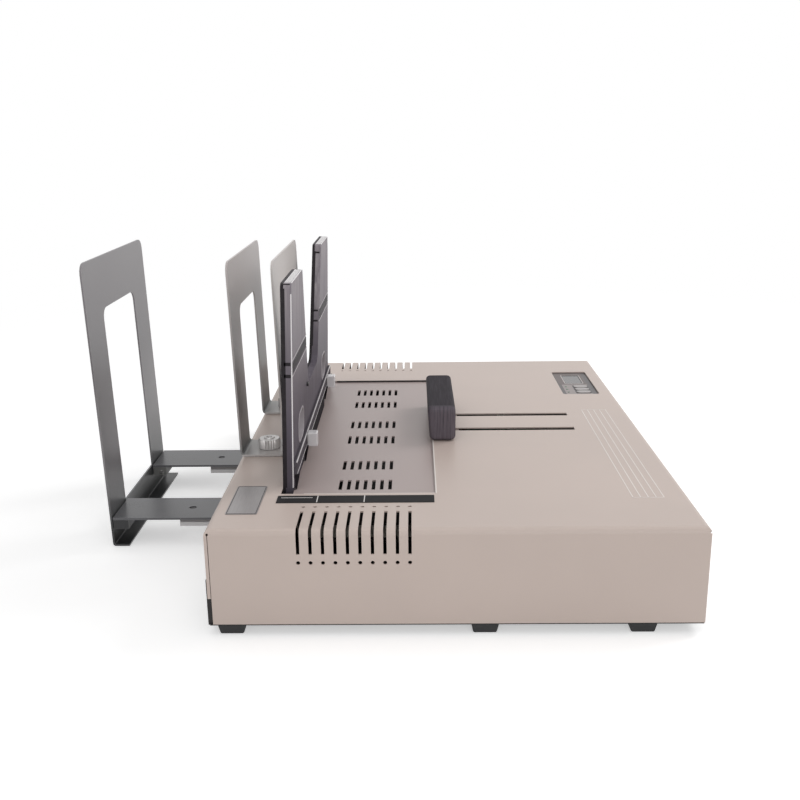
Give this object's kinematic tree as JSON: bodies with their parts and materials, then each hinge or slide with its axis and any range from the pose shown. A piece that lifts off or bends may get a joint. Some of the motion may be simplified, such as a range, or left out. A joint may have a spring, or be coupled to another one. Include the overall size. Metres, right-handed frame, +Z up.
{
  "type": "thermal binding machine",
  "caption": "Desktop thermal binding machine: vented case with a sliding clamp over a heated well, control panel and a drawn-out rack where bound documents stand to cool.",
  "frame": {"origin": "on the table, under the middle of the machine with its rack drawn out", "axes": "+Z up, -Y towards the operator, -X the operator's left"},
  "size_m": [0.4906, 0.4708, 0.2444],
  "materials": {
    "beige_paint": "fine textured warm beige powder coat",
    "zinc_sheet": "zinc plated sheet",
    "black_sheet": "black coated base sheet",
    "grey_paint": "satin dark grey paint",
    "light_grey_paint": "satin light grey paint",
    "bright_steel": "bright plated steel",
    "aluminium": "plain extruded aluminium",
    "smoky_plastic": "smoky tinted glossy plastic",
    "black_plastic": "fine matt black plastic",
    "clear_plastic": "clear glossy plastic",
    "rubber": "matt black rubber",
    "dark_label": "dark glossy window",
    "panel_film": "printed film without words",
    "button_film": "grey matt keys",
    "circuit_board": "green circuit board with its parts",
    "ceramic": "unglazed ceramic",
    "mica": "mica sheet with a flat element"
  },
  "bodies": {
    "root": {"top_cover": "beige_paint", "base_chassis": "black_sheet", "guide_rod_left": "bright_steel", "guide_rod_right": "bright_steel", "rear_cross_member": "zinc_sheet", "front_cross_member": "zinc_sheet", "heating_plate": "aluminium", "heater_element": "mica", "heat_shield": "zinc_sheet", "ceramic_support_left": "ceramic", "ceramic_support_right": "ceramic", "thermostat": "black_plastic", "inner_stand": "light_grey_paint", "rack_stud_left": "bright_steel", "rack_stud_right": "bright_steel", "rack_guide_left": "zinc_sheet", "rack_guide_right": "zinc_sheet", "panel_overlay": "panel_film", "display_window": "dark_label", "control_board": "circuit_board", "mains_inlet": "black_plastic", "switch_housing": "black_plastic", "fuse_holder": "black_plastic", "power_board": "circuit_board", "transformer": "zinc_sheet", "rubber_foot_1": "rubber", "rubber_foot_2": "rubber", "rubber_foot_3": "rubber", "rubber_foot_4": "rubber", "rubber_foot_5": "rubber", "rubber_foot_6": "rubber"},
    "carriage": {"slide_bush_left": "black_plastic", "slide_bush_right": "black_plastic", "slide_tray": "beige_paint", "clamp_backing": "black_plastic", "clamp_plate": "smoky_plastic", "clamp_foot": "black_plastic", "clamp_bracket": "zinc_sheet", "paper_stop_1": "clear_plastic", "paper_stop_2": "clear_plastic", "handle_grip": "black_plastic", "handle_stem_left": "bright_steel", "handle_stem_right": "bright_steel"},
    "rack": {"outer_stand": "grey_paint", "rack_arm_left": "grey_paint", "rack_arm_right": "grey_paint", "rack_rail_left": "aluminium", "rack_rail_right": "aluminium", "arm_block_left": "grey_paint", "arm_block_right": "grey_paint"},
    "rocker": {"power_rocker": "black_plastic"},
    "press_1": {"button_1": "button_film"},
    "press_2": {"button_2": "button_film"},
    "press_3": {"button_3": "button_film"},
    "nut_left": {"thumb_nut_left": "bright_steel"},
    "nut_right": {"thumb_nut_right": "bright_steel"}
  },
  "joints": [
    {"name": "carriage_slide", "type": "slide", "parent": "root", "child": "carriage", "axis": [0, -1, 0], "range_m": [0, 0.1]},
    {"name": "rack_slide", "type": "slide", "parent": "root", "child": "rack", "axis": [0, -1, 0], "range_m": [0, 0.093]},
    {"name": "rocker_tip", "type": "hinge", "parent": "root", "child": "rocker", "pos_m": [0.1167, 0.11337, 0.026], "axis": [0, 0, 1], "range_deg": [0, 20]},
    {"name": "button_1_press", "type": "slide", "parent": "root", "child": "press_1", "axis": [0, 0, -1], "range_m": [0, 0.0008], "stiffness_N_per_m": 500},
    {"name": "button_2_press", "type": "slide", "parent": "root", "child": "press_2", "axis": [0, 0, -1], "range_m": [0, 0.0008], "stiffness_N_per_m": 500},
    {"name": "button_3_press", "type": "slide", "parent": "root", "child": "press_3", "axis": [0, 0, -1], "range_m": [0, 0.0008], "stiffness_N_per_m": 500},
    {"name": "nut_left_turn", "type": "hinge", "parent": "root", "child": "nut_left", "pos_m": [-0.072, 0.09262, 0.0895], "axis": [0, 0, 1], "continuous": true},
    {"name": "nut_right_turn", "type": "hinge", "parent": "root", "child": "nut_right", "pos_m": [0.055, 0.09262, 0.0895], "axis": [0, 0, 1], "continuous": true}
  ]
}
